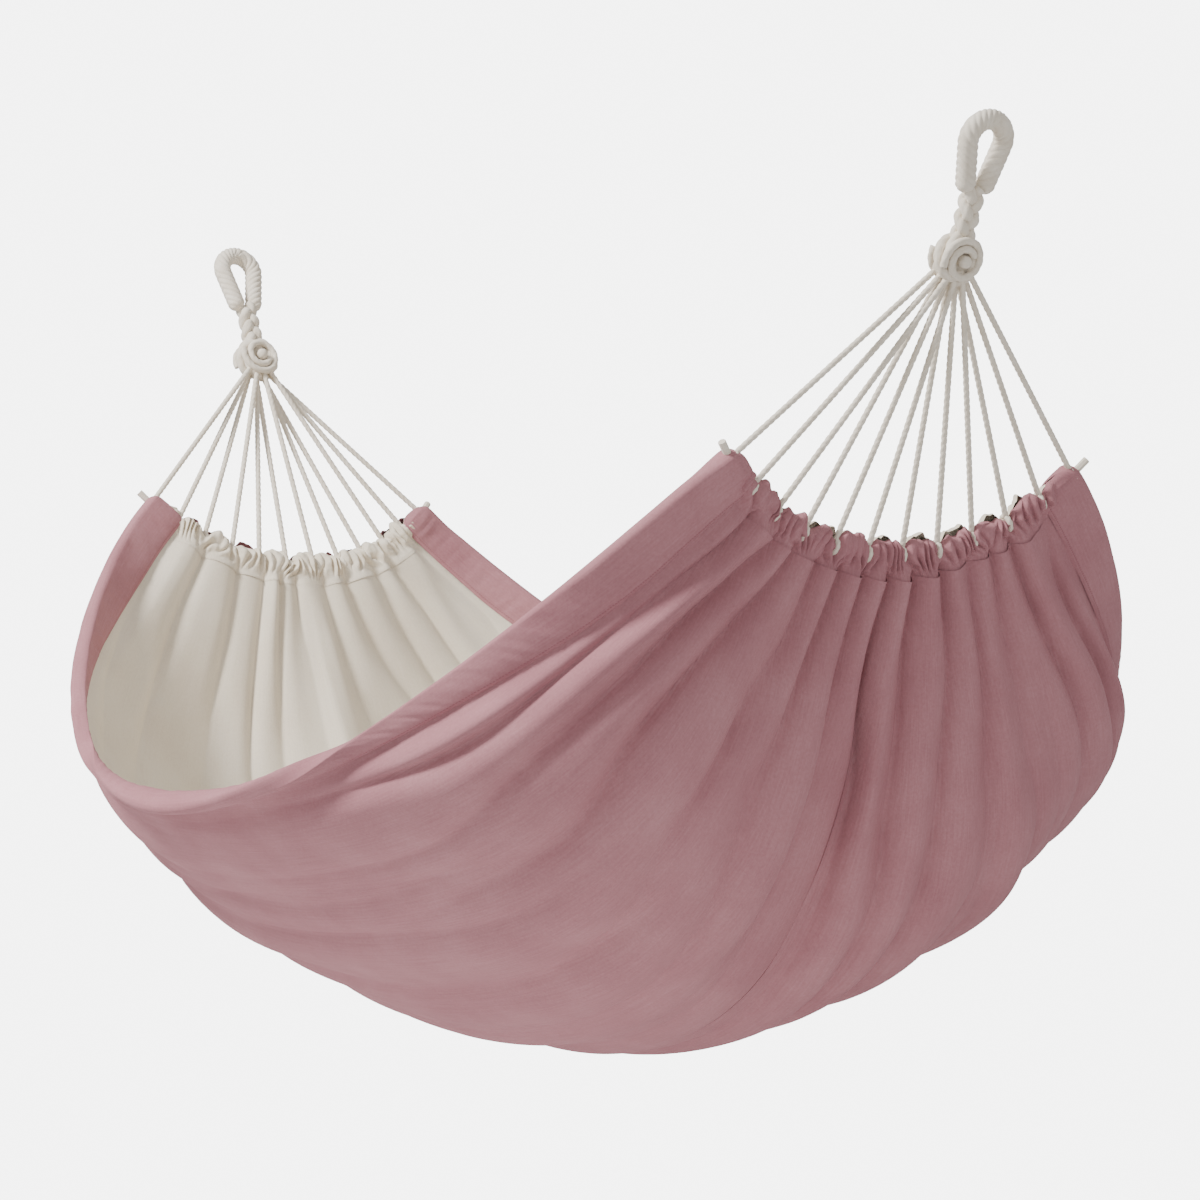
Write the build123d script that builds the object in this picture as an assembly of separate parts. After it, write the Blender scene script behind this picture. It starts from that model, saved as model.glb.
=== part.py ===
from build123d import *
import functools
import math
import os

# A two-layer cotton hammock hanging from two hooks, in millimetres.
# +Z is up, +X runs from the left hook to the right hook, and the origin is where the right hook
# bears on the inside of the right loop.
# Rose outer cloth, cream lining, rose edge borders, a gathered casing at each end with a rope in
# its channel, twelve cords from each casing to a knot, a rope neck and a hanging loop.

# hanging layout
hook_span = 1896.0  # right hook seat to left hook seat
load_tilt = 22.5  # degrees that each fan of cords leans away from the vertical
right_fan_length = 380.0  # centre of the fan, inside the knot, to the channel rope
left_fan_length = 340.0
right_fan_half_angle = 48.8  # degrees from the middle of the fan to its corner
left_fan_half_angle = 47.3
fan_length = {1: right_fan_length, -1: left_fan_length}
end_spread = {1: right_fan_half_angle, -1: left_fan_half_angle}
side_names = {1: "right", -1: "left"}

# shape of the bed where it is lowest
belly_shift = 45.0  # lowest cloth to the middle between the hooks, towards the right
edge_half_width = 677.0  # middle to the edge, straight across
shoulder_half_width = 415.0  # the same, halfway along the cloth from keel to edge
keel_depth = 1182.0  # hook line to the lowest cloth
shoulder_depth = 1007.0
edge_depth = 866.0

# how far the cloth runs straight on from each end, and along the bed at the bottom
keel_run_in = 216.0
shoulder_run_in = 230.0
edge_run_in = 246.0
keel_run_along = 513.0
shoulder_run_along = 771.0
edge_run_along = 361.0

# cloth
cloth_thickness = 1.8
lining_thickness = 1.4
layer_gap = 1.0
seat_gap = 0.98  # border to the cloth inside it
seam_gap = 0.8  # end of the cloth to the foot of the casing
fold_count = 11
ridge_profile = [(-0.34, 0.7), (0.0, 1.0), (0.34, 0.7)]  # place in the pitch, share of depth
fold_depth_at_end = 16.0
fold_depth_at_bottom = 7.0
lining_ridge_profile = [(0.0, 1.0)]
lining_fold_depth_at_end = 12.0
lining_fold_depth_at_bottom = 5.0

# edge borders
border_thickness = 2.6
border_width = 70.0
fold_clearance = 3.0  # border's stitched edge to where the first fold starts
border_swell = 9.0  # how far the border stands off the cloth
border_roll = 30.0  # cloth's own edge to the inside of the border's fold

# end casings
casing_depth = 30.0  # channel rope to the seam where the cloth starts
casing_lip = 17.0  # channel rope to the casing's gathered top
casing_lip_at_cord = 11.0
casing_half_thickness = 16.0
casing_half_thickness_at_cord = 12.0
casing_foot = 11.0  # half thickness at the seam, where the folds run in
casing_overhang = 2.6  # degrees that a casing runs past the corner cord
half_gap = 0.2  # middle plane to each half of a casing
channel_rope_radius = 5.0
channel_radius = 6.0
notch_clearance = 1.0
rope_sides = 8
loop_sides = 12
knot_sides = 16

# cords
cord_count = 12
cord_radius = 4.2
eye_wall = 5.0
eye_width = 8.0
eye_clearance = 0.5
corner_cord_share = 0.965  # of the fan's half angle
cord_rows = 3
cord_row_spacing = 9.2  # between rows, measured square to the fan at the knot
socket_depth = 8.5
socket_clearance = 0.1

# knot: a core between two flat coils of rope, with a button at the middle of each
knot_radius = 35.0
fan_drop = 23.0  # knot's centre down to the point that the cords fan out from
knot_core_half_width = 14.6
knot_rim_radius = 5.0
coil_rope_radius = 5.0
coil_first_radius = 14.0
coil_pitch = 10.7
coil_half_turns = 3
coil_gap = 0.3
button_radius = 8.2
button_length = 11.0
button_round = 3.5

# neck and loop
neck_foot_radius = 14.2
neck_waist_radius = 12.0
neck_length = 47.0  # knot's rim to the line that the neck swings about
pivot_radius = 13.5
pivot_gap = 0.5
swing_limit = 30.0
loop_rope_radius = 13.5
loop_height = 88.0  # swing line to the hook seat
eye_half_width = 14.5
leg_gap = 0.8

spans_to_bottom = 7
seams = {0: 1, 2: -1}  # ends of the cloth, and the side that each one is on

tilt = math.radians(load_tilt)
across = Vector(0, 1, 0)
middle_x = -hook_span / 2
knot_to_seat = knot_radius + neck_length + loop_height
fan_to_seat = knot_to_seat + fan_drop


def load_line(side):
    """Direction from the knot up to the hook."""
    return Vector(side * math.sin(tilt), 0, math.cos(tilt))


def fan_normal(side):
    """Outward direction, square to the flat fan of cords."""
    return Vector(side * math.cos(tilt), 0, -math.sin(tilt))


def hook_seat(side):
    return Vector(middle_x + side * hook_span / 2, 0, 0)


def knot_centre(side):
    return hook_seat(side) - load_line(side) * knot_to_seat


def fan_centre(side):
    return hook_seat(side) - load_line(side) * fan_to_seat


def fan_direction(side, share):
    """Direction down the fan at a share of its half angle: -1 near edge, 1 far edge."""
    angle = math.radians(end_spread[side]) * share
    return across * math.sin(angle) - load_line(side) * math.cos(angle)


def fan_plane(side, origin):
    """Plane of the fan: x runs across, y up the load line, z outward or inward."""
    return Plane(origin, x_dir=across, z_dir=across.cross(load_line(side)))


def through_three(share, at_keel, at_shoulder, at_edge):
    """Parabola through the values at 0, half and 1."""
    return (
        at_keel * (1 - share) * (1 - 2 * share)
        + at_shoulder * 4 * share * (1 - share)
        + at_edge * share * (2 * share - 1)
    )


def bottom_point(share):
    """The cloth where the bed is lowest."""
    size = abs(share)
    cubic_term = (4 * edge_half_width - 8 * shoulder_half_width) / 3
    half_width = (edge_half_width - cubic_term) * size + cubic_term * size**3
    rise_to_edge = keel_depth - edge_depth
    rise_to_shoulder = keel_depth - shoulder_depth
    square_term = (16 * rise_to_shoulder - rise_to_edge) / 3
    quartic_term = rise_to_edge - square_term
    depth = keel_depth - square_term * size**2 - quartic_term * size**4
    return Vector(middle_x + belly_shift, math.copysign(half_width, share), -depth)


@functools.lru_cache(maxsize=None)
def line_controls(side, share):
    """The four control points of a lengthwise line, from the channel to the bottom."""
    direction = fan_direction(side, share)
    start = fan_centre(side) + direction * fan_length[side]
    end = bottom_point(share)
    size = abs(share)
    run_in = through_three(size, keel_run_in, shoulder_run_in, edge_run_in)
    run_along = through_three(size, keel_run_along, shoulder_run_along, edge_run_along)
    second = end + Vector(side * run_along, 0, 0)
    return [tuple(point) for point in (start, start + direction * run_in, second, end)]


@functools.lru_cache(maxsize=None)
def smooth_point(share, along):
    """The smooth cloth: along is 0 at the right channel, 1 at the bottom, 2 at the left one."""
    if along < 0 or along > 2:
        side, ahead = (1, -along) if along < 0 else (-1, along - 2)
        start = Vector(line_controls(side, share)[0])
        return start - fan_direction(side, share) * (ahead * fan_length[side])
    points = line_controls(1 if along < 1 else -1, share)
    part = along if along < 1 else 2 - along
    rest = 1 - part
    weights = rest**3, 3 * rest**2 * part, 3 * rest * part**2, part**3
    return Vector(*[sum(w * point[i] for w, point in zip(weights, points)) for i in range(3)])


def lifted_point(share, along, lift):
    """The point that stands a distance off the smooth cloth, outward where it is more than 0."""
    step = 0.004
    if along in seams:
        side = seams[along]
        reach = fan_length[side] + casing_depth + seam_gap
        seam = fan_centre(side) + fan_direction(side, share) * reach
        return seam + fan_normal(side) * lift
    low, high = max(share - step, -1), min(share + step, 1)
    widthwise = smooth_point(high, along) - smooth_point(low, along)
    lengthwise = smooth_point(share, along + step) - smooth_point(share, along - step)
    return smooth_point(share, along) + lengthwise.cross(widthwise).normalized() * lift


def between(at_end, at_bottom, along):
    """A value that eases from the casings to the bottom of the bed."""
    part = min(along, 2 - along)
    return at_end + (at_bottom - at_end) * part * part * (3 - 2 * part)


@functools.lru_cache(maxsize=None)
def inside_edge(along, distance):
    """Share of the half width that lies a distance in from the edge."""
    steps = 16
    points = [smooth_point(i / steps, along) for i in range(steps + 1)]
    return 1 - distance / sum((b - a).length for a, b in zip(points, points[1:]))


def border_shares(along):
    """Shares at the border's stitch line, its middle and the cloth's own edge inside it."""
    return [inside_edge(along, d) for d in (border_width, border_width / 2, border_roll)]


def fold_points(along, profile, depth):
    """Share and lift of each corner across the folded cloth, from border to border."""
    stitch, middle, edge = border_shares(along)
    pitch = 2 * stitch / fold_count
    points = [(-edge, 0.0), (-middle, 0.0), (-stitch, 0.0)]
    for i in range(fold_count):
        crest = -stitch + (i + 0.5) * pitch
        points += [(crest + place * pitch, height * depth) for place, height in profile]
        points.append((crest + pitch / 2, 0.0))
    return points + [(middle, 0.0), (edge, 0.0)]


def outer_row(along):
    depth = between(fold_depth_at_end, fold_depth_at_bottom, along)
    return fold_points(along, ridge_profile, depth)


def lining_row(along):
    depth = between(lining_fold_depth_at_end, lining_fold_depth_at_bottom, along)
    return fold_points(along, lining_ridge_profile, -depth)


def border_rows(along, edge_side, layers):
    """Outer and inner corners of a band that is folded over the cloth's edge."""
    _, middle, crown = [edge_side * share for share in border_shares(along)]
    stitch = edge_side * inside_edge(along, border_width - fold_clearance)
    crest = edge_side
    roll = edge_side * inside_edge(along, border_thickness)
    outer, inner = [], []
    for facing, face in ((1, seat_gap), (-1, -layers - seat_gap)):
        wall = [(stitch, 0), (middle, border_swell), (crown, border_swell * 0.7)]
        band = [(share, face + facing * swell) for share, swell in wall]
        skin = [(share, lift + facing * border_thickness) for share, lift in band]
        outer.append(skin[::facing])
        inner.append(band[::facing])
    top = [(crest, -layers / 2)]
    hollow_top = [(roll, -layers / 2)]
    return outer[0] + top + outer[1], inner[0] + hollow_top + inner[1]


def skin(rows, rising=None):
    """Two flat triangles between each four corners of neighbouring rows."""
    faces = []
    rising = rising or [True] * len(rows[0])
    for row, following in zip(rows, rows[1:]):
        for a, b, c, d, away in zip(row, row[1:], following, following[1:], rising):
            first, second, third, fourth = (a, b, d, c) if away else (b, d, c, a)
            faces.append(Face(Wire.make_polygon([first, second, third])))
            faces.append(Face(Wire.make_polygon([first, third, fourth])))
    return faces


def flat_sided(outer_rows, inner_rows, rising):
    """A closed solid between two skins whose rows have matching corners."""
    faces = skin(outer_rows, rising) + skin(inner_rows, rising)
    for end in (0, -1):
        faces += skin([[row[end] for row in outer_rows], [row[end] for row in inner_rows]])
        faces += skin([outer_rows[end], inner_rows[end]])
    # sewing takes its facing from the first face, so the order decides which way is out
    return max([Solid(Shell(order)) for order in (faces, faces[::-1])], key=lambda s: s.volume)


def along_bed(outer, inner):
    """Carry the rows of corners from the right end to the left end."""
    stations = [i / spans_to_bottom for i in range(2 * spans_to_bottom + 1)]

    def rows(corners):
        return [[lifted_point(share, a, lift) for share, lift in corners(a)] for a in stations]

    # every layer is split the same way from the keel to the edge, so that the layers nest
    shares = [abs(share) for share, _ in outer(0)]
    rising = [b > a for a, b in zip(shares, shares[1:])]
    return flat_sided(rows(outer), rows(inner), rising)


def lowered(row, depth):
    """The same row of corners, a distance further into the bed."""
    return lambda along: [(share, lift - depth) for share, lift in row(along)]


def make_bed():
    inner_face = cloth_thickness + layer_gap
    layers = inner_face + lining_thickness
    parts = {
        "outer_cloth": along_bed(outer_row, lowered(outer_row, cloth_thickness)),
        "lining": along_bed(lowered(lining_row, inner_face), lowered(lining_row, layers)),
    }
    for name, edge_side in (("near_border", -1), ("far_border", 1)):
        parts[name] = along_bed(
            lambda along: border_rows(along, edge_side, layers)[0],
            lambda along: border_rows(along, edge_side, layers)[1],
        )
    return parts


def cord_share(index):
    """Share of the fan's half angle at which a cord meets its channel rope."""
    return corner_cord_share * (2 * index / (cord_count - 1) - 1)


def channel_path(side, share):
    centre, reach = fan_centre(side), fan_length[side]
    points = [centre + fan_direction(side, s) * reach for s in (-share, 0, share)]
    return Edge.make_three_point_arc(*points)


def rope_section(radius, plane, sides):
    """A face with flat sides that has the area of the round rope."""
    corner = radius * math.sqrt(2 * math.pi / sides / math.sin(2 * math.pi / sides))
    turns = [2 * math.pi * (i + 0.5) / sides for i in range(sides)]
    points = [Vector(corner * math.cos(t), corner * math.sin(t), 0) for t in turns]
    return Face(Wire.make_polygon([plane.from_local_coords(point) for point in points]))


def rope_along(path, radius, sides, flat):
    """Sweep a rope along a path that lies flat, with one of its sides facing a direction."""
    start = Plane(path @ 0, x_dir=flat, z_dir=path % 0)
    return Solid.sweep(rope_section(radius, start, sides), path)


def straight_rope(start, end, radius, along):
    plane = Plane(start, x_dir=along, z_dir=end - start)
    return Solid.extrude(rope_section(radius, plane, rope_sides), end - start)


def casing_section(side, facing, share, lip, half_thickness):
    """Half of a casing's section: a foot at the seam, a swelling and the gathered lip."""
    outward = fan_normal(side) * facing
    down = fan_direction(side, share)
    wall = fan_centre(side) + down * fan_length[side] + outward * half_gap
    foot = wall + down * casing_depth
    return Wire.make_polygon(
        [
            foot,
            foot + outward * casing_foot,
            wall + outward * half_thickness,
            wall - down * lip + outward * (half_thickness / 2),
            wall - down * lip,
        ]
    )


def casing_half(side, facing):
    """One face of the gathered casing, with a lobe between every two cords."""
    end_share = 1 + casing_overhang / end_spread[side]
    shares = [cord_share(i) for i in range(cord_count)]
    lobes = [(a + b) / 2 for a, b in zip(shares, shares[1:])]
    stations = [(s, casing_lip_at_cord, casing_half_thickness_at_cord) for s in shares]
    stations += [(s, casing_lip, casing_half_thickness) for s in lobes]
    stations += [(s * end_share, casing_lip, casing_half_thickness) for s in (-1, 1)]
    sections = [casing_section(side, facing, *station) for station in sorted(stations)]
    half = Solid.make_loft(sections, ruled=True)
    path = channel_path(side, end_share + 0.1)
    channel = rope_along(path, channel_radius, rope_sides, fan_normal(side))
    return half.cut(channel, *[notch(side, share) for share in shares])


def notch(side, share):
    """The gap between two lobes where a cord goes round the channel rope."""
    down = fan_direction(side, share)
    along = fan_normal(side).cross(down)
    middle = fan_centre(side) + down * fan_length[side]
    reach = channel_rope_radius + eye_clearance + eye_wall + notch_clearance
    width = eye_width + 2 * notch_clearance
    corner = middle - down * (3 * reach) - along * (width / 2) - fan_normal(side) * (2 * reach)
    return Solid.make_box(4 * reach, 4 * reach, width, Plane(corner, fan_normal(side), along))


def cord_line(side, index):
    """From the middle of the channel rope to the bottom of the cord's socket in the knot."""
    share = cord_share(index)
    start = fan_centre(side) + fan_direction(side, share) * fan_length[side]
    row = index % cord_rows - (cord_rows - 1) / 2
    reach = knot_radius - socket_depth
    end = knot_centre(side) + fan_direction(side, share) * reach
    return start, end + fan_normal(side) * (row * cord_row_spacing)


def cord_rod(side, index, radius):
    start, end = cord_line(side, index)
    return straight_rope(start, end, radius, fan_normal(side))


def cord(side, index):
    """A straight cord with a bound eye round the channel rope."""
    start, _ = cord_line(side, index)
    down = fan_direction(side, cord_share(index))
    along = fan_normal(side).cross(down)
    bore = channel_rope_radius + eye_clearance

    def drum(radius, width):
        return straight_rope(start - along * (width / 2), start + along * (width / 2), radius, down)

    eye = drum(bore + eye_wall, eye_width)
    return cord_rod(side, index, cord_radius).fuse(eye).cut(drum(bore, 2 * eye_width))


def make_end(side):
    name = side_names[side]
    path = channel_path(side, 1 + casing_overhang / end_spread[side])
    parts = {
        f"{name}_casing": casing_half(side, 1),
        f"{name}_lining_casing": casing_half(side, -1),
        f"{name}_channel_rope": rope_along(
            path, channel_rope_radius, rope_sides, fan_normal(side)
        ),
    }
    for index in range(cord_count):
        parts[f"{name}_cord_{index + 1:02d}"] = cord(side, index)
    return parts


def turned(place, outline, sides):
    """A flat-sided turned piece, from the radius and height of each ring."""
    rings = [
        rope_section(radius, place.offset(height), sides).outer_wire()
        for radius, height in outline
    ]
    return Solid.make_loft(rings, ruled=True)


def cheek(side):
    """The middle plane of a knot, facing outward."""
    return Plane(knot_centre(side), x_dir=load_line(side), z_dir=fan_normal(side))


def knot_core(side):
    """A thick round cheek, standing in the plane of the fan."""
    half, rim = knot_core_half_width, knot_rim_radius
    flat = knot_radius - rim
    outline = [(flat, -half), (knot_radius, rim - half), (knot_radius, half - rim), (flat, half)]
    core = turned(cheek(side), outline, knot_sides)
    radius = cord_radius + socket_clearance
    return core.cut(*[cord_rod(side, index, radius) for index in range(cord_count)])


def coil_path():
    """A flat spiral of half circles on the plane of a page."""
    edges = []
    start = Vector(coil_first_radius, 0, 0)
    for i in range(coil_half_turns):
        diameter = 2 * coil_first_radius + (i + 0.5) * coil_pitch
        sign = 1 if i % 2 else -1
        end = start + Vector(sign * diameter, 0, 0)
        middle = (start + end) * 0.5 + Vector(0, -sign * diameter / 2, 0)
        edges.append(Edge.make_three_point_arc(start, middle, end))
        start = end
    return Wire(edges)


def coil_gap_to_itself():
    """Least gap between turns, over points along the spiral that lie half a turn apart."""
    path = coil_path()
    steps = 120
    apart = steps // (2 * coil_half_turns) * 2
    points = [path @ (i / steps) for i in range(steps + 1)]
    pairs = [(a, b) for i, a in enumerate(points) for b in points[i + apart :]]
    return min((a - b).length for a, b in pairs) - 2 * coil_rope_radius


def knot_coil(side, facing):
    """Rope coiled flat on one cheek of the knot."""
    coil = rope_along(coil_path(), coil_rope_radius, rope_sides, Vector(0, 0, 1))
    lift = knot_core_half_width + coil_gap + coil_rope_radius
    page = Plane(
        knot_centre(side) + fan_normal(side) * (facing * lift),
        x_dir=load_line(side),
        z_dir=fan_normal(side) * facing,
    )
    return coil.moved(page.location)


def knot_button(side, facing):
    """The rounded rope end that stands at the middle of a coil."""
    base, tip = knot_core_half_width, knot_core_half_width + button_length
    outline = [
        (button_radius, facing * base),
        (button_radius, facing * (tip - button_round)),
        (button_radius - button_round, facing * tip),
    ]
    return turned(cheek(side), outline, loop_sides)


def swing_point(side):
    """Where the line that the bed swings about crosses the load line."""
    return hook_seat(side) - load_line(side) * loop_height


def swing_barrel(side, radius):
    length = 120
    start = swing_point(side) - Vector(length / 2, 0, 0)
    return Solid.make_cylinder(radius, length, Plane(start, z_dir=(1, 0, 0)))


def block(side, bottom, height):
    """A block across the load line, from a level measured from the swing line."""
    size = 200
    corner = swing_point(side) + Vector(-size / 2, -size / 2, bottom)
    return Solid.make_box(size, size, height, Plane(corner))


def neck(side, core):
    """Rope neck with a waist, rounded at the top about the swing line."""
    outline = [
        (neck_foot_radius, -neck_length - knot_rim_radius),
        (neck_foot_radius, -neck_length),
        (neck_waist_radius, -neck_length / 2),
        (pivot_radius, 0),
        (pivot_radius, 2 * pivot_radius),
    ]
    place = Plane(swing_point(side), x_dir=across, z_dir=load_line(side))
    body = turned(place, outline, loop_sides)
    body = body.cut(block(side, 0, 60).cut(swing_barrel(side, pivot_radius)))
    return body.cut(core)


def loop(side):
    """Thick rope bent to a long eye, with its two legs side by side at the foot."""
    bend = eye_half_width + loop_rope_radius
    centre_height = loop_height - eye_half_width
    foot = loop_rope_radius + leg_gap / 2
    spread = math.hypot(foot, centre_height)
    touch = math.acos(bend / spread) - math.atan2(centre_height, foot)
    touch_y = bend * math.cos(touch)
    touch_h = centre_height + bend * math.sin(touch)
    plane = fan_plane(side, swing_point(side))

    def place(y, height):
        return plane.from_local_coords(Vector(y, height, 0))

    path = Wire(
        [
            Edge.make_line(place(-foot, 0), place(-touch_y, touch_h)),
            Edge.make_three_point_arc(
                place(-touch_y, touch_h),
                place(0, centre_height + bend),
                place(touch_y, touch_h),
            ),
            Edge.make_line(place(touch_y, touch_h), place(foot, 0)),
        ]
    )
    rope = rope_along(path, loop_rope_radius, loop_sides, fan_normal(side))
    clear = pivot_radius * math.sin(math.radians(swing_limit)) + pivot_gap
    return rope.cut(swing_barrel(side, pivot_radius + pivot_gap), block(side, clear - 60, 60))


def make_top(side):
    name = side_names[side]
    core = knot_core(side)
    return {
        f"{name}_knot": core,
        f"{name}_knot_outer_coil": knot_coil(side, 1),
        f"{name}_knot_inner_coil": knot_coil(side, -1),
        f"{name}_knot_outer_button": knot_button(side, 1),
        f"{name}_knot_inner_button": knot_button(side, -1),
        f"{name}_neck": neck(side, core),
        f"{name}_loop": loop(side),
    }


def main():
    os.makedirs("parts", exist_ok=True)
    parts = make_bed()
    for side in (1, -1):
        parts.update(make_end(side))
        parts.update(make_top(side))
    for name, shape in parts.items():
        export_step(shape, f"parts/{name}.step")
    print(len(parts), "parts written")
    print("least gap between a knot coil's turns", round(coil_gap_to_itself(), 2))


main()
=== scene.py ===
import bpy
import bmesh
import math
import numpy as np
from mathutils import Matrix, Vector


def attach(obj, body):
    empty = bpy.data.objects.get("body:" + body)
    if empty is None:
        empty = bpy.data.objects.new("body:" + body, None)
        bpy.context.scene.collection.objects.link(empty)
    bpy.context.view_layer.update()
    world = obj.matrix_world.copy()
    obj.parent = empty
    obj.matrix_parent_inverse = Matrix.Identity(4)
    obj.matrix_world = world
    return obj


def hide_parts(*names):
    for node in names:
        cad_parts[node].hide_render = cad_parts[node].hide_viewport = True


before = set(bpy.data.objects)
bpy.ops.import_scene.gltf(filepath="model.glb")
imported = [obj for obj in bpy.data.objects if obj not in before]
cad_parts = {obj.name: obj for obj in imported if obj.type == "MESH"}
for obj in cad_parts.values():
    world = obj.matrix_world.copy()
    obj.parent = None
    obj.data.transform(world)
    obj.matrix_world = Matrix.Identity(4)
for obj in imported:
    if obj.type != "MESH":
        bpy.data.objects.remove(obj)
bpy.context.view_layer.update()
print("packed frame loaded")

# how the hammock hangs, in metres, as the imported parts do
layout = {
    "hookSpan": 1.896,
    "tilt": math.radians(22.5),
    "fanToSeat": 0.193,
    "knotToSeat": 0.170,
    "fanLength": {1: 0.380, -1: 0.340},
    "fanHalfAngle": {1: math.radians(48.8), -1: math.radians(47.3)},
    "bellyShift": 0.045,
    "halfWidth": (0.415, 0.677),
    "depth": (1.182, 1.007, 0.866),
    "runIn": (0.216, 0.230, 0.246),
    "runAlong": (0.513, 0.771, 0.361),
}
sideNames = {1: "right", -1: "left"}
middleX = -layout["hookSpan"] / 2
across = np.array([0.0, 1.0, 0.0])


def loadLine(side):
    return np.array([side * math.sin(layout["tilt"]), 0, math.cos(layout["tilt"])])


def fanNormal(side):
    return np.array([side * math.cos(layout["tilt"]), 0, -math.sin(layout["tilt"])])


def hookSeat(side):
    return np.array([middleX + side * layout["hookSpan"] / 2, 0, 0])


def knotCentre(side):
    return hookSeat(side) - loadLine(side) * layout["knotToSeat"]


def fanCentre(side):
    return hookSeat(side) - loadLine(side) * layout["fanToSeat"]


def fanDirection(side, share):
    angle = np.asarray(share, float)[..., None] * layout["fanHalfAngle"][side]
    return np.sin(angle) * across - np.cos(angle) * loadLine(side)


def throughThree(size, values):
    atKeel, atShoulder, atEdge = values
    return (atKeel * (1 - size) * (1 - 2 * size) + atShoulder * 4 * size * (1 - size)
            + atEdge * size * (2 * size - 1))


def bottomPoint(share):
    size = np.abs(share)
    shoulder, edge = layout["halfWidth"]
    cubic = (4 * edge - 8 * shoulder) / 3
    keelDepth, shoulderDepth, edgeDepth = layout["depth"]
    riseEdge, riseShoulder = keelDepth - edgeDepth, keelDepth - shoulderDepth
    square = (16 * riseShoulder - riseEdge) / 3
    depth = keelDepth - square * size**2 - (riseEdge - square) * size**4
    y = np.sign(share) * ((edge - cubic) * size + cubic * size**3)
    return np.stack([np.full_like(size, middleX + layout["bellyShift"]), y, -depth], -1)


def clothPoint(share, along):  # along is 0 at the right channel rope, 1 at the bottom, 2 at the left one
    share, along = np.broadcast_arrays(np.asarray(share, float), np.asarray(along, float))
    result = np.zeros(share.shape + (3,))
    size = np.abs(share)
    runIn = throughThree(size, layout["runIn"])[..., None]
    runAlong = throughThree(size, layout["runAlong"])
    end = bottomPoint(share)
    for side in (1, -1):
        part = (along if side == 1 else 2 - along)[..., None]
        direction = fanDirection(side, share)
        start = fanCentre(side) + direction * layout["fanLength"][side]
        second = end + np.stack([side * runAlong, 0 * size, 0 * size], -1)
        rest = 1 - part
        inside = (rest**3 * start + 3 * rest**2 * part * (start + direction * runIn)
                  + 3 * rest * part**2 * second + part**3 * end)
        beyond = start + direction * (part * layout["fanLength"][side])
        mine = (along < 1) if side == 1 else (along >= 1)
        result[mine] = np.where(part < 0, beyond, inside)[mine]
    return result


def unit(vectors):
    return vectors / np.maximum(np.linalg.norm(vectors, axis=-1, keepdims=True), 1e-12)


def clothNormal(share, along):
    step = 0.004
    low, high = np.maximum(share - step, -1.03), np.minimum(share + step, 1.03)
    widthwise = clothPoint(high, along) - clothPoint(low, along)
    lengthwise = clothPoint(share, along + step) - clothPoint(share, along - step)
    return unit(np.cross(lengthwise, widthwise))


stations = np.linspace(-0.2, 2.2, 481)
sampleShares = np.linspace(0, 1, 41)
samples = clothPoint(sampleShares[None, :], stations[:, None])
steps = np.linalg.norm(np.diff(samples, axis=1), axis=2)[:, ::-1]
fromEdge = np.concatenate([np.zeros((len(stations), 1)), np.cumsum(steps, axis=1)], axis=1)
reaches = np.linspace(0, 0.2, 81)
edgeShares = np.array([np.interp(reaches, row, sampleShares[::-1]) for row in fromEdge])


def insideEdge(along, distance):  # share of the half width, a distance in from the edge
    along, distance = np.broadcast_arrays(np.asarray(along, float), np.asarray(distance, float))
    row = np.clip((along - stations[0]) / (stations[1] - stations[0]), 0, len(stations) - 1.001)
    column = np.clip(distance / reaches[1], 0, len(reaches) - 1.001)
    i, j = row.astype(int), column.astype(int)
    a, b = row - i, column - j
    near = edgeShares[i, j] * (1 - b) + edgeShares[i, j + 1] * b
    return near * (1 - a) + (edgeShares[i + 1, j] * (1 - b) + edgeShares[i + 1, j + 1] * b) * a


tables = {}


def noise(x, y=0.0, seed=1):  # smooth noise from -1 to 1, the same on every run
    if seed not in tables:
        tables[seed] = np.random.default_rng(seed).uniform(-1, 1, (256, 256))
    x, y = np.broadcast_arrays(np.asarray(x, float), np.asarray(y, float))
    column, row = np.floor(x).astype(int), np.floor(y).astype(int)
    a, b = x - column, y - row
    a, b = a * a * (3 - 2 * a), b * b * (3 - 2 * b)
    value = tables[seed]

    def at(i, j):
        return value[(column + i) % 256, (row + j) % 256]

    return (at(0, 0) * (1 - a) + at(1, 0) * a) * (1 - b) + (at(0, 1) * (1 - a) + at(1, 1) * a) * b


def ease(value, low, high):
    part = np.clip((value - low) / (high - low), 0, 1)
    return part * part * (3 - 2 * part)


# meshes

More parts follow.
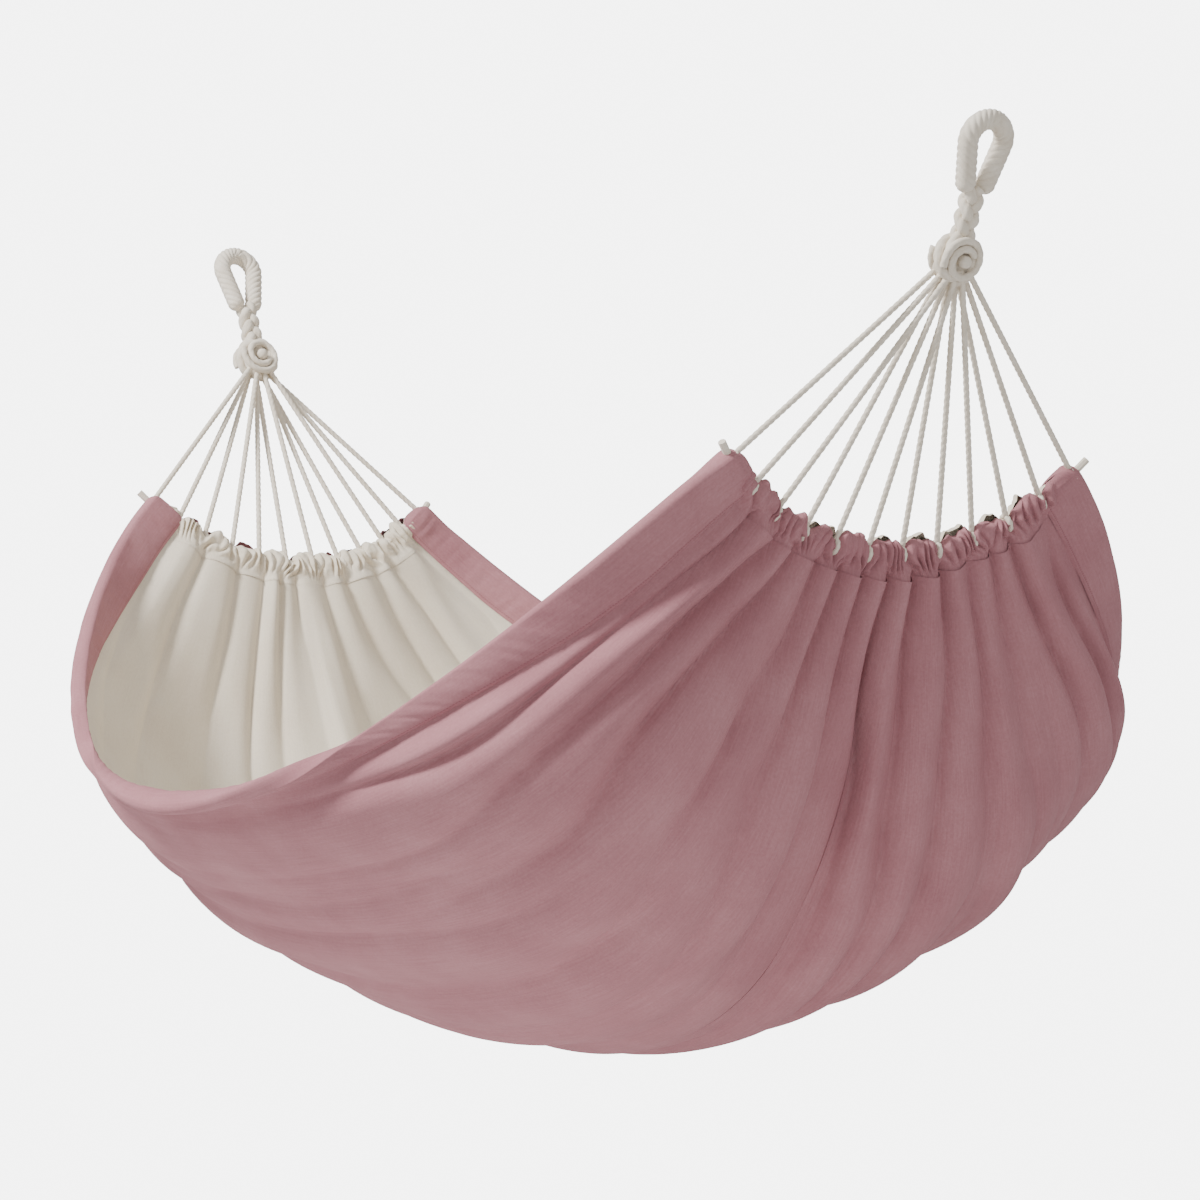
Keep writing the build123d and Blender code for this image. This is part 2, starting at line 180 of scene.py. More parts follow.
def surface(name, columns, rows, place, flip=False, merge=False, uvSize=(1.0, 1.0)):
    built = bmesh.new()
    built.loops.layers.uv.new("UVMap")
    bmesh.ops.create_grid(built, x_segments=columns, y_segments=rows, size=0.5, calc_uvs=True)
    mesh = bpy.data.meshes.new(name)
    built.to_mesh(mesh)
    built.free()
    flat = np.empty(len(mesh.vertices) * 3)
    mesh.vertices.foreach_get("co", flat)
    flat = flat.reshape(-1, 3) + 0.5
    mesh.vertices.foreach_set("co", place(flat[:, 0], flat[:, 1]).ravel())
    uv = np.empty(len(mesh.loops) * 2)
    mesh.uv_layers[0].data.foreach_get("uv", uv)
    mesh.uv_layers[0].data.foreach_set("uv", (uv.reshape(-1, 2) * uvSize).ravel())
    if merge or flip:
        built = bmesh.new()
        built.from_mesh(mesh)
        if merge:
            bmesh.ops.remove_doubles(built, verts=built.verts, dist=1e-6)
            bmesh.ops.dissolve_degenerate(built, edges=built.edges, dist=1e-7)
            bmesh.ops.recalc_face_normals(built, faces=built.faces)
        else:
            bmesh.ops.reverse_faces(built, faces=built.faces)
        built.to_mesh(mesh)
        built.free()
    mesh.polygons.foreach_set("use_smooth", [True] * len(mesh.polygons))
    piece = bpy.data.objects.new(name, mesh)
    bpy.context.scene.collection.objects.link(piece)
    return piece


def tube(name, path, facing, columns, radius):  # a rope whose radius is given by angle and distance
    path = np.asarray(path, float)
    tangent = unit(np.gradient(path, axis=0))
    facing = np.broadcast_to(np.asarray(facing, float), path.shape)
    first = unit(facing - (facing * tangent).sum(1, keepdims=True) * tangent)
    second = np.cross(tangent, first)
    distance = np.concatenate([[0], np.cumsum(np.linalg.norm(np.diff(path, axis=0), axis=1))])
    last = len(path) - 1
    order = np.concatenate([[0], np.arange(last + 1), [last]])  # the end rings are closed flat
    full = np.ones(len(order))
    full[[0, -1]] = 0

    def place(u, v):
        row = np.rint(v * (len(order) - 1)).astype(int)
        at = order[row]
        angle = 2 * math.pi * u
        reach = (full[row] * radius(angle, distance[at]))[:, None]
        return path[at] + reach * (np.cos(angle)[:, None] * first[at] + np.sin(angle)[:, None] * second[at])

    girth = 2 * math.pi * float(np.max(radius(np.zeros(2), distance[[0, -1]])))
    return surface(name, columns, len(order) - 1, place, merge=True, uvSize=(girth, distance[-1]))


def strands(count, pitch, thick, groove=0.25):  # the outline of a laid rope
    def radius(angle, distance):
        turn = (angle - 2 * math.pi * distance / pitch) * count / (2 * math.pi)
        place = np.abs(turn - np.rint(turn)) * 2
        return thick * (1 - groove * place**2.2)
    return radius


# finishes

class Link:  # one output socket, with sums that add their Math nodes
    def __init__(self, finish, socket):
        self.finish, self.socket = finish, socket

    def sum(self, operation, first, second):
        return self.finish.add("ShaderNodeMath", {"operation": operation}, {0: first, 1: second})[0]

    def __add__(self, other): return self.sum("ADD", self, other)
    def __radd__(self, other): return self.sum("ADD", other, self)
    def __sub__(self, other): return self.sum("SUBTRACT", self, other)
    def __rsub__(self, other): return self.sum("SUBTRACT", other, self)
    def __mul__(self, other): return self.sum("MULTIPLY", self, other)
    def __rmul__(self, other): return self.sum("MULTIPLY", other, self)
    def __truediv__(self, other): return self.sum("DIVIDE", self, other)
    def __pow__(self, other): return self.sum("POWER", self, other)
    def __gt__(self, other): return self.sum("GREATER_THAN", self, other)
    def __lt__(self, other): return self.sum("LESS_THAN", self, other)
    def wave(self): return self.sum("SINE", self, 0.0)
    def size(self): return self.sum("ABSOLUTE", self, 0.0)
    def rest(self): return self.sum("FRACT", self, 0.0)


class Finish:
    def __init__(self, name):
        self.material = bpy.data.materials.new(name)
        self.material.use_nodes = True
        self.tree = self.material.node_tree
        self.tree.nodes.clear()

    def add(self, kind, settings, sockets):
        node = self.tree.nodes.new(kind)
        for key, value in settings.items():
            if key == "stops":
                ramp = node.color_ramp.elements
                for stop, (at, colour) in enumerate(value):
                    element = ramp[stop] if stop < 2 else ramp.new(at)
                    element.position, element.color = at, colour
            else:
                setattr(node, key, value)
        for key, value in sockets.items():
            if isinstance(value, Link):
                self.tree.links.new(value.socket, node.inputs[key])
            else:
                node.inputs[key].default_value = value
        return [Link(self, socket) for socket in node.outputs]


def clothFinish(name, settings):
    finish = Finish(name)
    uv = finish.add("ShaderNodeTexCoord", {}, {})[2]
    place = finish.add("ShaderNodeTexCoord", {}, {})[3]
    u, v = finish.add("ShaderNodeSeparateXYZ", {}, {"Vector": uv})[:2]
    broad = finish.add("ShaderNodeTexNoise", {}, {"Vector": place, "Scale": 9.0, "Detail": 4.0})[0]
    nap = finish.add("ShaderNodeTexNoise", {}, {"Vector": place, "Scale": 260.0, "Detail": 5.0})[0]
    fine = finish.add("ShaderNodeTexNoise", {}, {"Vector": place, "Scale": 900.0, "Detail": 3.0})[0]
    crumple = finish.add("ShaderNodeTexNoise", {}, {"Vector": place, "Scale": 38.0, "Detail": 3.0})[0]
    stretched = finish.add("ShaderNodeMapping", {}, {"Vector": uv, "Scale": (420.0, 14.0, 1.0)})[0]
    slub = finish.add("ShaderNodeTexNoise", {}, {"Vector": stretched, "Scale": 1.0, "Detail": 3.0})[0]
    weave = ((u * settings["threads"]).wave() + 1.0) * ((v * settings["threads"]).wave() + 1.0)
    shade = broad * 0.42 + nap * 0.30 + slub * 0.28
    colour = finish.add("ShaderNodeValToRGB", {"stops": [
        (0.30, settings["dark"]), (0.52, settings["colour"]), (0.74, settings["pale"])]}, {"Fac": shade})[0]
    height = nap * 0.5 + fine * 0.25 + slub * 0.35 + weave * 0.08 + crumple * settings["crumple"]
    if "stitches" in settings:
        for line in settings["stitches"]:
            near = (v - line["at"]).size() if line["across"] else (u - line["at"]).size()
            run = (u if line["across"] else v) * (1 / line["pitch"])
            thread = (near < line["half"]) * (run.rest() < 0.66)
            colour = finish.add("ShaderNodeMix", {"data_type": "RGBA"}, {
                "Factor": thread * line["mark"], 6: colour, 7: settings["thread"]})[2]
            height = height + thread * 1.6 - (near < line["half"] * 3) * 1.1
    bump = finish.add("ShaderNodeBump", {}, {
        "Strength": settings["bump"], "Distance": 0.0012, "Height": height})[0]
    shader = finish.add("ShaderNodeBsdfPrincipled", {}, {
        "Base Color": colour, "Roughness": nap * 0.12 + 0.74, "Normal": bump,
        "Sheen Weight": settings["sheen"], "Sheen Roughness": 0.45,
        "Sheen Tint": settings["pale"], "Specular IOR Level": 0.22})[0]
    finish.add("ShaderNodeOutputMaterial", {}, {"Surface": shader})
    return finish.material


def ropeFinish(name, settings):
    finish = Finish(name)
    uv = finish.add("ShaderNodeTexCoord", {}, {})[2]
    place = finish.add("ShaderNodeTexCoord", {}, {})[3]
    stretched = finish.add("ShaderNodeMapping", {}, {"Vector": uv, "Scale": settings["fibres"]})[0]
    fibre = finish.add("ShaderNodeTexNoise", {}, {"Vector": stretched, "Scale": 1.0, "Detail": 4.0})[0]
    broad = finish.add("ShaderNodeTexNoise", {}, {"Vector": place, "Scale": 45.0, "Detail": 3.0})[0]
    fuzz = finish.add("ShaderNodeTexNoise", {}, {"Vector": place, "Scale": 700.0, "Detail": 4.0})[0]
    shade = broad * 0.4 + fibre * 0.35 + fuzz * 0.25
    colour = finish.add("ShaderNodeValToRGB", {"stops": [
        (0.28, settings["dark"]), (0.50, settings["colour"]), (0.72, settings["pale"])]}, {"Fac": shade})[0]
    bump = finish.add("ShaderNodeBump", {}, {
        "Strength": 0.7, "Distance": 0.0010, "Height": fibre * 0.7 + fuzz * 0.4})[0]
    shader = finish.add("ShaderNodeBsdfPrincipled", {}, {
        "Base Color": colour, "Roughness": fuzz * 0.1 + 0.78, "Normal": bump,
        "Sheen Weight": 0.25, "Sheen Roughness": 0.5, "Specular IOR Level": 0.2})[0]
    finish.add("ShaderNodeOutputMaterial", {}, {"Surface": shader})
    return finish.material


rose = {
    "colour": (0.405, 0.185, 0.205, 1), "dark": (0.335, 0.140, 0.160, 1), "pale": (0.480, 0.240, 0.262, 1),
    "thread": (0.30, 0.12, 0.14, 1), "threads": 5200.0, "bump": 0.55, "sheen": 0.35, "crumple": 0.5,
}
cream = {
    "colour": (0.80, 0.715, 0.585, 1), "dark": (0.71, 0.62, 0.49, 1), "pale": (0.86, 0.79, 0.67, 1),
    "thread": (0.66, 0.56, 0.44, 1), "threads": 5200.0, "bump": 0.5, "sheen": 0.2, "crumple": 0.5,
}
cotton = {
    "colour": (0.76, 0.685, 0.575, 1), "dark": (0.62, 0.54, 0.43, 1), "pale": (0.85, 0.79, 0.69, 1),
    "fibres": (260.0, 60.0, 1.0),
}
roseCloth = clothFinish("rose cotton cloth", rose)
creamCloth = clothFinish("cream cotton lining", cream)
ropeCotton = ropeFinish("cotton rope", cotton)
print("finishes made")


def dress(piece, finish, body, slot, *nodes):
    piece.data.materials.clear()
    piece.data.materials.append(finish)
    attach(piece, body)
    if nodes:
        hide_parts(*nodes)
    return piece


# camera

camera = {"place": (4.739, -3.824, -0.829), "target": (-0.9248, 0.0366, -0.5646), "lens": 144.86}


def makeCamera():
    data = bpy.data.cameras.new("camera")
    data.lens, data.sensor_width = camera["lens"], 36.0
    data.clip_end = 100
    stand = bpy.data.objects.new("camera", data)
    stand.location = camera["place"]
    direction = Vector(camera["target"]) - Vector(camera["place"])
    stand.rotation_euler = direction.to_track_quat("-Z", "Y").to_euler()
    bpy.context.scene.collection.objects.link(stand)
    bpy.context.scene.camera = stand


makeCamera()

# cords

cordSettings = {
    "count": 12, "radius": 0.0042, "pitch": 0.030, "columns": 18, "step": 0.0024,
    "cornerShare": 0.965, "rowSpacing": 0.0092, "endReach": 0.0265, "eyeRadius": 0.0095,
    "eyeGap": 0.008, "eyeRope": 0.0040,
}


def cordShare(index):
    return cordSettings["cornerShare"] * (2 * index / (cordSettings["count"] - 1) - 1)


def cordLine(side, index):
    direction = fanDirection(side, cordShare(index))
    start = fanCentre(side) + direction * layout["fanLength"][side]
    row = index % 3 - 1
    end = knotCentre(side) + direction * cordSettings["endReach"]
    return start, end + fanNormal(side) * (row * cordSettings["rowSpacing"])


def makeCords(side):
    name = sideNames[side]
    for index in range(cordSettings["count"]):
        start, end = cordLine(side, index)
        length = float(np.linalg.norm(end - start))
        direction = (end - start) / length
        first = start + direction * cordSettings["eyeGap"]
        path = first + np.linspace(0, 1, int(length / cordSettings["step"]))[:, None] * (end - first)
        outline = strands(3, cordSettings["pitch"], cordSettings["radius"])
        cord = tube(f"{name}Cord{index + 1:02d}", path, fanNormal(side), cordSettings["columns"], outline)
        node = f"{name}_cord_{index + 1:02d}"
        dress(cord, ropeCotton, "bed", "cotton_cord", node)
        turn = np.linspace(0, 2 * math.pi, 49)[:, None]
        along = np.cross(fanNormal(side), direction)
        ring = start + cordSettings["eyeRadius"] * (np.cos(turn) * direction + np.sin(turn) * fanNormal(side))
        ring = ring + along * 0.0012 * np.sin(turn / 2)
        eye = tube(f"{name}CordEye{index + 1:02d}", ring, along, 12, strands(3, 0.02, cordSettings["eyeRope"]))
        dress(eye, ropeCotton, "bed", "cotton_cord")
        line = [tuple(point) for point in path[::12]] + [tuple(path[-1])]
        float(np.linalg.norm(end - first))


for side in (1, -1):
    makeCords(side)
print("cords laid")

# folds of the cloth

folds = {
    "rightCount": 15.5, "leftCount": 14.5, "broadCount": 7.2,
    "endDepth": 0.0310, "middleDepth": 0.0080, "broadDepth": 0.0170, "liningDepth": 0.0150,
    "hemWidth": 0.070,
}


def pleat(phase, sharp=0.86):
    return np.abs(np.sin(math.pi * phase)) ** sharp


def gathered(share, along, count, seed):
    wander = 0.55 * noise(share * 3.1 + 7, along * 2.3, seed) + 0.25 * noise(share * 9, along * 5, seed + 1)
    phase = share * count / 2 + wander
    which = np.floor(phase)
    depth = 0.80 + 0.35 * noise(which * 1.7, along * 2.0, seed + 2)
    return pleat(phase) * depth


def outerFold(share, along):
    stitch = insideEdge(along, folds["hemWidth"])
    inside = ease(stitch - np.abs(share), 0.0, 0.09)
    right, left = np.clip(along, 0, 2), np.clip(2 - along, 0, 2)
    fadeRight, fadeLeft = 1 - ease(right, 0.30, 1.35), 1 - ease(left, 0.25, 1.15)
    fromRight = folds["endDepth"] * fadeRight * gathered(share, right, folds["rightCount"], 11)
    fromLeft = folds["endDepth"] * fadeLeft * gathered(share, left, folds["leftCount"], 21)
    both = ease(right, 0.15, 0.8) * ease(left, 0.10, 0.7)
    turned = share * (1 + 0.05 * (along - 1))
    broad = folds["broadDepth"] * both * gathered(turned, along * 0.6, folds["broadCount"], 31)
    small = folds["middleDepth"] * both * gathered(share, along * 0.8, 13.0, 41)
    soft = 0.0012 * (1 + noise(share * 16, along * 9, 51))
    return (fromRight + fromLeft + broad + small) * inside + soft


def liningFold(share, along):
    stitch = insideEdge(along, folds["hemWidth"] - 0.006)
    inside = ease(stitch - np.abs(share), 0.0, 0.10)
    right, left = np.clip(along, 0, 2), np.clip(2 - along, 0, 2)
    fromRight = (1 - ease(right, 0.15, 0.85)) * gathered(share, right, 12.5, 61)
    fromLeft = (1 - ease(left, 0.15, 0.85)) * gathered(share, left, 12.5, 71)
    slack = 0.30 * ease(right, 0.2, 0.9) * ease(left, 0.2, 0.9) * gathered(share, along * 0.7, 5.0, 81)
    return -0.0042 - folds["liningDepth"] * inside * (fromRight + fromLeft + slack)


cloth = {"columns": 300, "rows": 320, "firstAlong": 0.040, "edgeInset": 0.012}


def clothSheet(name, lift, flip):
    def place(u, v):
        along = cloth["firstAlong"] + (2 - 2 * cloth["firstAlong"]) * v
        edge = insideEdge(along, cloth["edgeInset"])
        share = (2 * u - 1) * edge
        return clothPoint(share, along) + clothNormal(share, along) * lift(share, along)[:, None]
    return surface(name, cloth["columns"], cloth["rows"], place, flip=flip, uvSize=(1.6, 2.1))


outerCloth = clothSheet("outerCloth", outerFold, False)
dress(outerCloth, roseCloth, "bed", "rose_cloth", "outer_cloth")
lining = clothSheet("liningCloth", liningFold, True)
dress(lining, creamCloth, "bed", "cream_lining", "lining")
print("cloth and lining hung")

# rolled hems along both edges

hem = {
    "width": folds["hemWidth"], "insideShare": 0.93, "swell": 0.0075, "roll": 0.0095, "rollShare": 0.22,
    "columns": 56, "rows": 420, "layers": 0.0042, "top": 0.050, "closing": 0.06, "knuckle": 0.55,
}


def hemSection(p, along):
    side = np.where(p < 0.5, 1.0, -1.0)
    q = np.abs(2 * p - 1)  # 1 at the stitch lines, 0 on the crest
    roll, rollShare = hem["roll"], hem["rollShare"]
    width = hem["width"] * np.where(p < 0.5, 1.0, hem["insideShare"])
    turn = np.clip(q / rollShare, 0, 1) * math.pi / 2
    bend = q < rollShare
    flat = np.clip((q - rollShare) / (1 - rollShare), 0, 1)
    inset = np.where(bend, roll * (1 - np.cos(turn)), roll + (width - roll) * flat)
    puff = hem["layers"] / 2 + 0.0016 + hem["swell"] * np.sqrt(np.clip(1 - flat**2.4, 0, 1))
    pucker = noise(along * 95, 0, 91) * 0.0007 + noise(along * 210, q * 3, 92) * 0.0006
    puff = puff + pucker * np.sin(math.pi * flat) ** 0.6 + 0.0008 * noise(along * 30, q * 2 + side, 93)
    lift = np.where(bend, np.sin(turn) * puff, puff) * side
    return inset, lift - hem["layers"] / 2


def makeHem(name, edgeSide, node):
    def place(u, v):
        along = -hem["top"] + (2 + 2 * hem["top"]) * v
        inset, lift = hemSection(u, along)
        reach = np.minimum(along + hem["top"], 2 + hem["top"] - along) / hem["closing"]
        close = np.sqrt(np.clip(1 - (1 - np.clip(reach, 0, 1)) ** 2, 0, 1))
        middle = hem["width"] * 0.42
        knuckle = 1 + hem["knuckle"] * np.exp(-((np.minimum(along, 2 - along) + 0.01) / 0.05) ** 2)
        inset = middle + (inset - middle) * close
        lift = lift * close * knuckle
        share = edgeSide * insideEdge(along, inset)
        return clothPoint(share, along) + clothNormal(share, along) * lift[:, None]
    piece = surface(name, hem["columns"], hem["rows"], place, flip=edgeSide < 0, uvSize=(0.150, 2.3))
    return dress(piece, hemCloth, "bed", "rose_hem", node)


hemStitch = {"across": False, "half": 0.0009, "pitch": 0.0052, "mark": 0.85}
hemStitches = [{**hemStitch, "at": at} for at in (0.0050, 0.1450)]
hemCloth = clothFinish("rose hem cloth", {**rose, "stitches": hemStitches})
for name, edgeSide, node in (("nearHem", -1, "near_border"), ("farHem", 1, "far_border")):
    piece = makeHem(name, edgeSide, node)
print("hems rolled")

# gathered casings

casing = {"depth": 0.034, "lip": 0.021, "lipAtCord": 0.0095, "half": 0.0150, "halfAtCord": 0.0100,
          "endShare": 0.94, "columns": 900, "rows": 60, "turnOver": 0.55, "gatherPitch": 0.0125,
          "gatherDepth": 0.0082, "creaseDepth": 0.0014, "sway": 0.0042, "footAlong": 0.045}


def casingPoint(side, facing, u, w, seed):  # w runs from the stitch line over the rope to the lip
    length, halfAngle = layout["fanLength"][side], layout["fanHalfAngle"][side]
    turnOver = casing["turnOver"]
    share = (2 * u - 1) * casing["endShare"]
    arc = share * halfAngle * length
    place = (share / cordSettings["cornerShare"] + 1) * (cordSettings["count"] - 1) / 2
    nearCord = np.exp(-((place - np.rint(place)) / 0.15) ** 2)
    ragged = 1 + 0.34 * noise(arc / 0.019, 0, seed) + 0.14 * noise(arc / 0.006, 0, seed + 9)
    lip = casing["lip"] * ragged - (casing["lip"] - casing["lipAtCord"]) * nearCord
    half = casing["half"] - (casing["half"] - casing["halfAtCord"]) * nearCord
    tuck = 1 - ease(np.abs(share), 0.80, 0.93)
    foot = np.clip(w / turnOver, 0, 1)
    over = np.clip((w - turnOver) / (1 - turnOver), 0, 1)
    down = np.where(w < turnOver, casing["depth"] * (1 - foot), -lip * np.sin(over * math.pi / 2))
    lean = 0.35 * noise(arc / 0.03, 3, seed + 1)
    lines = (arc + lean * down) / casing["gatherPitch"] + 1.5 * noise(arc / 0.024, w * 1.6, seed + 2)
    gather = (pleat(lines, 0.85) - 0.55) * (1.0 + 0.8 * noise(arc / 0.014, w * 3, seed + 3))
    crease = noise(arc / 0.0055, w * 5, seed + 4) + 0.7 * noise(arc / 0.011, w * 9, seed + 7)
    amount = casing["gatherDepth"] * ease(w, 0.02, 0.4) * (1 - 0.3 * over)
    rough = gather * amount + crease * casing["creaseDepth"]
    bulge = half * np.sin(np.clip(w / 0.62, 0, 1) * math.pi / 2) ** 0.8
    footAlong = casing["footAlong"] if side > 0 else 2 - casing["footAlong"]
    fold = outerFold if facing > 0 else liningFold
    fromFoot = facing * fold(share, np.full_like(share, footAlong))
    lift = fromFoot * (1 - ease(w, 0.0, 0.5)) + (bulge + rough) * ease(w, 0.0, 0.45)
    lift = np.where(w > turnOver, (half + rough) * np.cos(over * math.pi / 2) ** 0.7, lift)
    lift = np.maximum(lift * (0.35 + 0.65 * tuck), 0.0004)
    reach = length + down * (0.6 + 0.4 * tuck)
    sway = casing["sway"] * noise(arc / 0.018, w * 2.5, seed + 5) * ease(w, 0.2, 1.0)
    direction = fanDirection(side, share + sway / (length * halfAngle))
    return fanCentre(side) + direction * reach[:, None] + fanNormal(side) * (facing * lift)[:, None]


casingStitch = {"at": 0.0020, "across": True, "half": 0.0006, "pitch": 0.0046}
roseCasing = clothFinish("rose gathered casing", {
    **rose, "bump": 0.7, "crumple": 0.8, "stitches": [{**casingStitch, "mark": 0.7}]})
creamCasing = clothFinish("cream gathered casing", {
    **cream, "bump": 0.65, "crumple": 0.8, "stitches": [{**casingStitch, "mark": 0.6}]})
for side in (1, -1):
    for facing, finish, label, node, slot in (
            (1, roseCasing, "Casing", "casing", "rose_cloth"),
            (-1, creamCasing, "LiningCasing", "lining_casing", "cream_lining")):
        seed = 100 + 20 * (side > 0) + 40 * (facing > 0)
        piece = surface(
            f"{sideNames[side]}{label}", casing["columns"], casing["rows"],
            lambda u, w: casingPoint(side, facing, u, w, seed),
            flip=side * facing < 0, uvSize=(0.62, 0.075))
        dress(piece, finish, "bed", slot, f"{sideNames[side]}_{node}")
print("casings gathered")

# knots, necks and loops

knot = {
    "ring": 0.0225, "ringSwing": 0.0062, "weaveDepth": 0.0088, "rope": 0.0074,
    "heartRadius": 0.019, "heartHalf": 0.011,
    "coilStart": 0.0135, "coilPitch": 0.0107, "coilHeight": 0.0175, "coilDrop": 0.0030, "coilRope": 0.0052,
    "buttonRadius": 0.0082, "buttonFoot": 0.012, "buttonLength": 0.0148,
}


def place3(side, acrossBy, upBy, outBy, origin):
    return (origin + np.multiply.outer(acrossBy, across) + np.multiply.outer(upBy, loadLine(side))
            + np.multiply.outer(outBy, fanNormal(side)))


def buttonRadius(angle, distance):
    rounded = np.sqrt(np.clip(1 - (distance / knot["buttonLength"]) ** 5, 0.02, 1))
    return knot["buttonRadius"] * rounded * (1 + 0.04 * np.cos(6 * angle))


def makeKnot(side):
    name = sideNames[side]
    centre = knotCentre(side)
    turn = np.linspace(0, 2 * math.pi, 361)
    # one rope passed round and round itself, three leads and four bights
    wide = knot["ring"] + knot["ringSwing"] * np.cos(4 * turn)
    depth = knot["weaveDepth"] * np.sin(4 * turn)
    weave = place3(side, wide * np.cos(3 * turn), wide * 1.08 * np.sin(3 * turn), depth, centre)
    body = tube(f"{name}Knot", weave, fanNormal(side), 14, strands(3, 0.040, knot["rope"], 0.12))
    dress(body, ropeCotton, "bed", "cotton_rope", f"{name}_knot")
    through = np.linspace(-knot["heartHalf"], knot["heartHalf"], 9)
    axis = place3(side, np.zeros(9), np.zeros(9), through, centre)
    core = tube(f"{name}KnotHeart", axis, across, 24, lambda a, d: 0.0 * a + knot["heartRadius"])
    dress(core, ropeCotton, "bed", "cotton_rope")
    for facing, label in ((1, "outer"), (-1, "inner")):
        turns = np.linspace(0.15 * math.pi, 3.1 * math.pi, 150)
        radius = knot["coilStart"] + knot["coilPitch"] * turns / (2 * math.pi)
        height = facing * (knot["coilHeight"] - knot["coilDrop"] * turns / (3 * math.pi))
        coil = place3(side, radius * np.cos(turns), radius * np.sin(turns) * facing, height, centre)
        outline = strands(3, 0.036, knot["coilRope"], 0.14)
        piece = tube(f"{name}{label.capitalize()}Coil", coil, fanNormal(side), 14, outline)
        dress(piece, ropeCotton, "bed", "cotton_rope", f"{name}_knot_{label}_coil")
        rise = np.linspace(0, 1, 14)
        out = facing * (knot["buttonFoot"] + knot["buttonLength"] * rise)
        path = place3(side, 0 * rise, 0 * rise, out, centre)
        button = tube(f"{name}{label.capitalize()}Button", path, across, 24, buttonRadius)
        dress(button, ropeCotton, "bed", "cotton_rope", f"{name}_knot_{label}_button")


neck = {"bottom": -0.152, "top": -0.076, "start": 0.150, "pitch": 0.066, "width": 0.0088, "depth": 0.0062,
        "strand": 0.0078}


def makeNeck(side):
    name = sideNames[side]
    height = np.linspace(neck["bottom"], neck["top"], 80)
    made = []
    for strand in range(3):
        phase = 2 * math.pi * ((height + neck["start"]) / neck["pitch"] + strand / 3)
        x, out = neck["width"] * np.sin(phase), neck["depth"] * np.sin(2 * phase)
        path = place3(side, x, height, out, hookSeat(side))
        outline = strands(3, 0.04, neck["strand"], 0.16)
        made.append(tube(f"{name}NeckStrand{strand + 1}", path, fanNormal(side), 18, outline))
    bpy.ops.object.select_all(action="DESELECT")
    for piece in made:
        piece.select_set(True)
    bpy.context.view_layer.objects.active = made[0]
    bpy.ops.object.join()
    made[0].name = f"{name}Neck"
    dress(made[0], ropeCotton, "bed", "cotton_rope", f"{name}_neck")


loopSettings = {
    "rope": 0.0132, "height": 0.088, "eye": 0.0145, "foot": 0.0120, "band": 0.0098, "slant": 3.1,
    "wrapDepth": 0.0017, "seam": 0.0010, "seamBeads": 0.0008, "seamGroove": 0.0008, "rounding": 0.013,
}


def makeLoop(side):
    name = sideNames[side]
    rope, eye, height = loopSettings["rope"], loopSettings["eye"], loopSettings["height"]
    bend, centre = eye + rope, height - eye
    foot = loopSettings["foot"]
    spread = math.hypot(foot, centre)
    touch = math.acos(bend / spread) - math.atan2(centre, foot)
    touchY, touchH = bend * math.cos(touch), centre + bend * math.sin(touch)
    legs = np.linspace(0.06, 1, 46)
    arc = np.linspace(math.pi - touch, touch, 74)[1:-1]
    h = np.concatenate([touchH * legs, centre + bend * np.sin(arc), touchH * legs[::-1]])
    leftLeg, rightLeg = -foot + (foot - touchY) * legs, foot + (touchY - foot) * legs
    y = np.concatenate([leftLeg, bend * np.cos(arc), rightLeg[::-1]])
    seat = hookSeat(side) - loadLine(side) * height
    path = place3(side, y, h, 0 * y, seat)
    outward = unit(place3(side, y, h - centre, 0 * y, np.zeros(3)) + 1e-9)
    viewed = fanNormal(side) * side
    where = np.linspace(0, 1, len(path))
    total = float(np.linalg.norm(np.diff(path, axis=0), axis=1).sum())
    # the seam goes from the inside of one leg to the outside of the other
    swing = math.pi * (1 - ease(where, 0.36, 0.64))
    facing = np.cos(swing)[:, None] * outward + np.sin(swing)[:, None] * viewed

    def radius(angle, distance):
        away = np.minimum(angle, 2 * math.pi - angle) / math.pi
        band = distance / loopSettings["band"] - loopSettings["slant"] * away
        wrap = 1 - np.abs(2 * (band - np.floor(band)) - 1) ** 2.6
        ridge = np.exp(-(away / 0.085) ** 2)
        beads = 0.5 + 0.5 * np.cos(2 * math.pi * distance / loopSettings["band"])
        groove = np.exp(-((away - 0.115) / 0.03) ** 2)
        toEnd = np.clip(np.minimum(distance, total - distance) / loopSettings["rounding"], 0, 1)
        close = np.sqrt(np.clip(1 - (1 - toEnd) ** 2, 0.03, 1))
        seam = ridge * (loopSettings["seam"] + loopSettings["seamBeads"] * beads)
        turns = loopSettings["wrapDepth"] * wrap * (1 - ridge)
        return close * (rope - 0.0013 + turns + seam - loopSettings["seamGroove"] * groove)

    piece = tube(f"{name}Loop", path, facing, 72, radius)
    dress(piece, ropeCotton, "hanging_loops", "cotton_rope", f"{name}_loop")


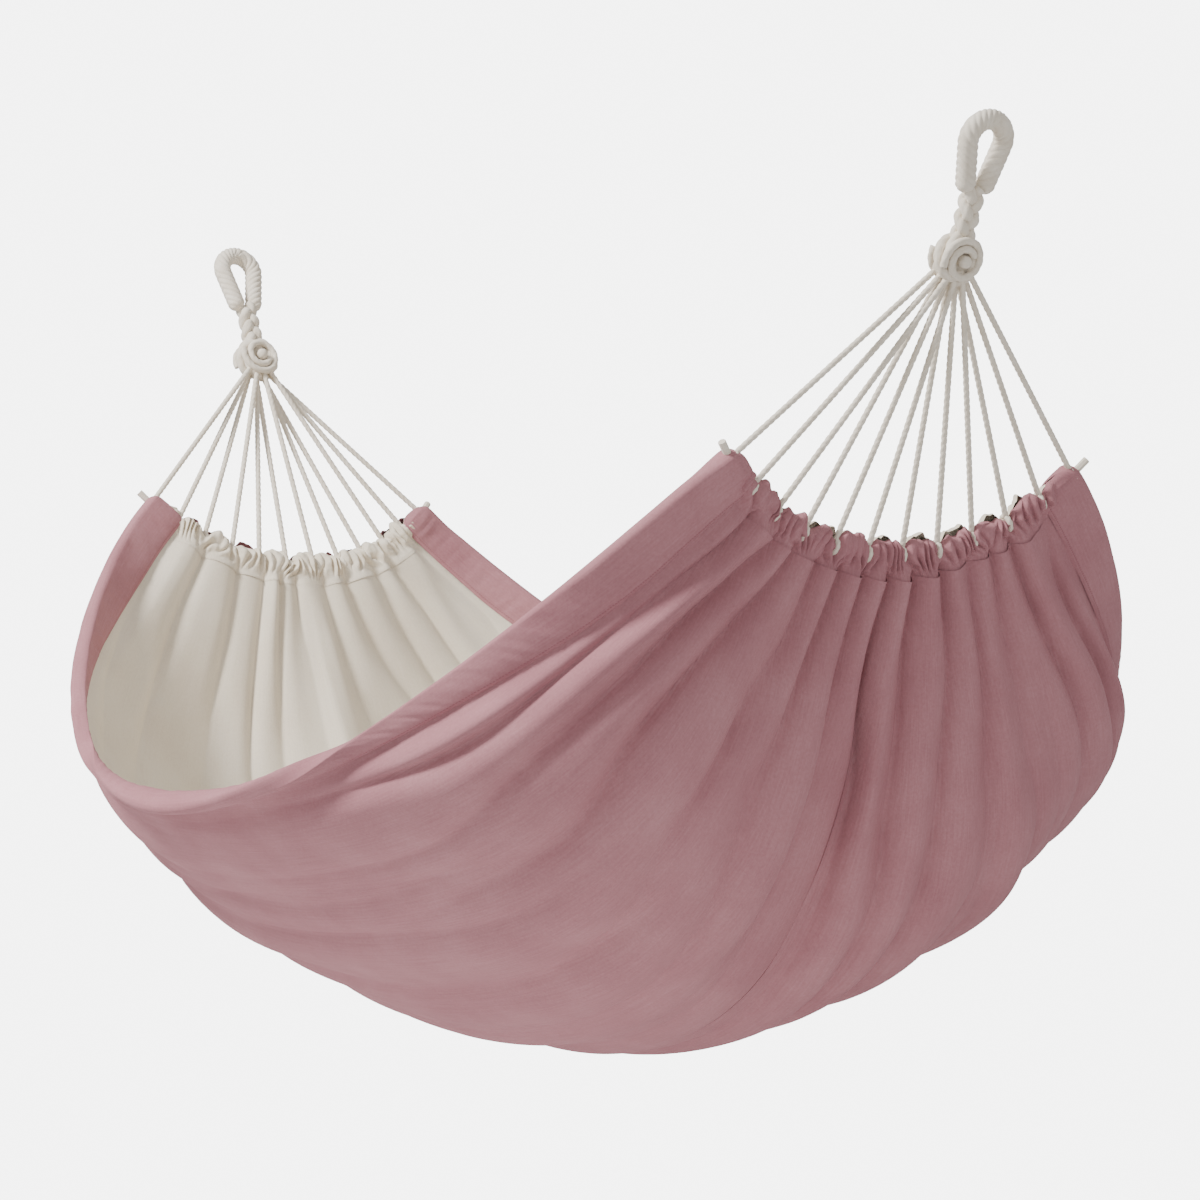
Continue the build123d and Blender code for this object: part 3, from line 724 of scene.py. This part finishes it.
for side in (1, -1):
    makeKnot(side)
    makeNeck(side)
    makeLoop(side)
for name in ("right_channel_rope", "left_channel_rope"):
    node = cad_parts[name]
    for place in range(len(node.material_slots)):
        node.material_slots[place].material = ropeCotton
print("knots, necks and loops tied")

# floor and light

studio = {
    "floorRadius": 1.75, "floorHeight": -1.62, "ambient": 0.62, "backdrop": 6.0, "target": (-0.9, 0, -0.7),
    "floorColour": (0.86, 0.86, 0.85, 1),
    "key": {"place": (-1.3, -4.2, 2.9), "size": 1.1, "power": 520},
    "fill": {"place": (4.6, -1.0, 0.6), "size": 2.6, "power": 45},
}


def makeFloor():
    built = bmesh.new()
    bmesh.ops.create_circle(built, cap_ends=True, radius=studio["floorRadius"], segments=96)
    bmesh.ops.translate(built, verts=built.verts, vec=(middleX, 0, studio["floorHeight"]))
    mesh = bpy.data.meshes.new("floor")
    built.to_mesh(mesh)
    built.free()
    floor = bpy.data.objects.new("floor", mesh)
    bpy.context.scene.collection.objects.link(floor)
    finish = Finish("pale floor")
    shader = finish.add("ShaderNodeBsdfPrincipled", {}, {
        "Base Color": studio["floorColour"], "Roughness": 0.7})[0]
    finish.add("ShaderNodeOutputMaterial", {}, {"Surface": shader})
    mesh.materials.append(finish.material)


def makeLight(name):
    settings = studio[name]
    data = bpy.data.lights.new(name, "AREA")
    data.shape, data.size, data.energy = "DISK", settings["size"], settings["power"]
    lamp = bpy.data.objects.new(name, data)
    lamp.location = settings["place"]
    direction = Vector(studio["target"]) - Vector(settings["place"])
    lamp.rotation_euler = direction.to_track_quat("-Z", "Y").to_euler()
    bpy.context.scene.collection.objects.link(lamp)


makeFloor()
makeLight("key")
makeLight("fill")
world = bpy.data.worlds.new("studio")
bpy.context.scene.world = world
world.use_nodes = True
worldNodes, worldLinks = world.node_tree.nodes, world.node_tree.links
sky = worldNodes["Background"]
sky.inputs[0].default_value = (1, 1, 1, 1)
rays = worldNodes.new("ShaderNodeLightPath")
strength = worldNodes.new("ShaderNodeMix")
strength.inputs[2].default_value = studio["ambient"]
strength.inputs[3].default_value = studio["backdrop"]
worldLinks.new(rays.outputs["Is Camera Ray"], strength.inputs[0])
worldLinks.new(strength.outputs[0], sky.inputs[1])
print("studio lit")
